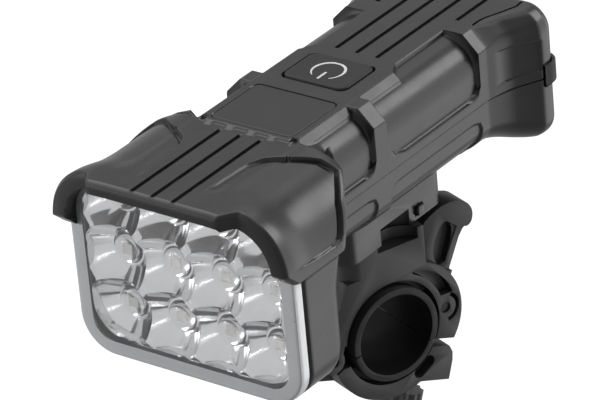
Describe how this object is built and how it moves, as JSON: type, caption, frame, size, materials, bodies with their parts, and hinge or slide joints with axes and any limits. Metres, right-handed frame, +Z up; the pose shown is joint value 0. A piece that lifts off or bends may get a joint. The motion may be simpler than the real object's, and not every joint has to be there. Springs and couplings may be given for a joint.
{
  "type": "bike headlight",
  "caption": "Battery bike headlight with a wide clear lens, hooded visor, power button and display window, on a swivelling slide mount with a hinged handlebar clamp.",
  "frame": {"origin": "centre of the handlebar clamp's bore", "axes": "the beam points to -Y, +Z is up, +X is the light's right side seen from the front; the bar runs in the XY plane, turned 20 degrees from X"},
  "size_m": [0.0712, 0.1329, 0.1077],
  "materials": {
    "top_shell": "fine moulded black",
    "bottom_shell": "fine moulded black",
    "front_lens": "clear moulded",
    "lens_seal": "matt black",
    "reflector": "bright vacuum plated",
    "led_chips": "yellow phosphor",
    "led_board": "white masked",
    "heat_sink": "plain extruded",
    "display_window": "smoked, smooth",
    "display_module": "matt grey",
    "main_board": "green solder mask",
    "tact_switch": "matt grey",
    "power_button": "matt black, white symbol",
    "battery_cells": "plain shrink sleeve",
    "battery_cradle": "matt grey",
    "port_board": "green solder mask",
    "usb_socket": "plated",
    "port_flap": "matt black",
    "shell_screws": "plain",
    "mount_rail": "matt black",
    "rail_screws": "plain",
    "slide_base": "matt black",
    "slide_latch": "matt black",
    "swivel_screw": "plain",
    "swivel_washer": "plain",
    "swivel_nut": "plain",
    "upper_jaw": "matt moulded black",
    "lower_jaw": "matt moulded black",
    "hinge_pin": "plain",
    "upper_liner": "matt black",
    "lower_liner": "matt black",
    "pivot_pin": "plain",
    "clamp_bolt": "plain",
    "thumb_nut": "matt black",
    "lock_lever": "matt moulded black"
  },
  "bodies": {
    "clamp": {"upper_jaw": "upper_jaw", "upper_liner": "upper_liner", "hinge_pin": "hinge_pin", "pivot_pin": "pivot_pin", "swivel_screw": "swivel_screw", "swivel_washer": "swivel_washer", "swivel_nut": "swivel_nut"},
    "base": {"slide_base": "slide_base"},
    "light": {"top_shell": "top_shell", "bottom_shell": "bottom_shell", "front_lens": "front_lens", "lens_seal": "lens_seal", "reflector": "reflector", "led_chips": "led_chips", "led_board": "led_board", "heat_sink": "heat_sink", "display_window": "display_window", "display_module": "display_module", "main_board": "main_board", "tact_switch": "tact_switch", "battery_cells": "battery_cells", "battery_cradle": "battery_cradle", "port_board": "port_board", "usb_socket": "usb_socket", "shell_screws": "shell_screws", "mount_rail": "mount_rail", "rail_screws": "rail_screws"},
    "latch": {"slide_latch": "slide_latch"},
    "button": {"power_button": "power_button"},
    "flap": {"port_flap": "port_flap"},
    "lower_jaw": {"lower_jaw": "lower_jaw", "lower_liner": "lower_liner"},
    "bolt": {"clamp_bolt": "clamp_bolt"},
    "nut": {"thumb_nut": "thumb_nut"},
    "lever": {"lock_lever": "lock_lever"}
  },
  "joints": [
    {"name": "swivel", "type": "hinge", "parent": "clamp", "child": "base", "pos_m": [0, 0, 0.029], "axis": [0, 0, 1], "continuous": true},
    {"name": "light_slide", "type": "slide", "parent": "base", "child": "light", "axis": [0, 1, 0], "range_m": [0, 0.02]},
    {"name": "latch_press", "type": "slide", "parent": "base", "child": "latch", "axis": [-1, 0, 0], "range_m": [0, 0.002], "stiffness_N_per_m": 800},
    {"name": "button_press", "type": "slide", "parent": "light", "child": "button", "axis": [0, 0, -1], "range_m": [0, 0.0008], "stiffness_N_per_m": 1500},
    {"name": "flap_hinge", "type": "hinge", "parent": "light", "child": "flap", "pos_m": [-0.014, 0.0513, 0.0529], "axis": [0, 0, 1], "range_deg": [0, 100]},
    {"name": "bolt_swing", "type": "hinge", "parent": "clamp", "child": "bolt", "pos_m": [0.00557, 0.01532, 0.0012], "axis": [0.9397, -0.342, 0], "range_deg": [0, 100]},
    {"name": "nut_spin", "type": "hinge", "parent": "bolt", "child": "nut", "pos_m": [0.00557, 0.01532, 0.0012], "axis": [-0.1, -0.2747, -0.9563], "continuous": true},
    {"name": "jaw_hinge", "type": "hinge", "parent": "clamp", "child": "lower_jaw", "pos_m": [-0.00633, -0.01738, -0.0017], "axis": [0.9397, -0.342, 0], "range_deg": [-36, 0]},
    {"name": "lever_lift", "type": "hinge", "parent": "clamp", "child": "lever", "pos_m": [0.00557, 0.01532, 0.0012], "axis": [-0.9397, 0.342, 0], "range_deg": [0, 12], "stiffness_Nm_per_rad": 0.4}
  ],
  "couplings": [
    {"joint": "jaw_hinge", "follows": "bolt_swing", "ratio": -0.36}
  ]
}
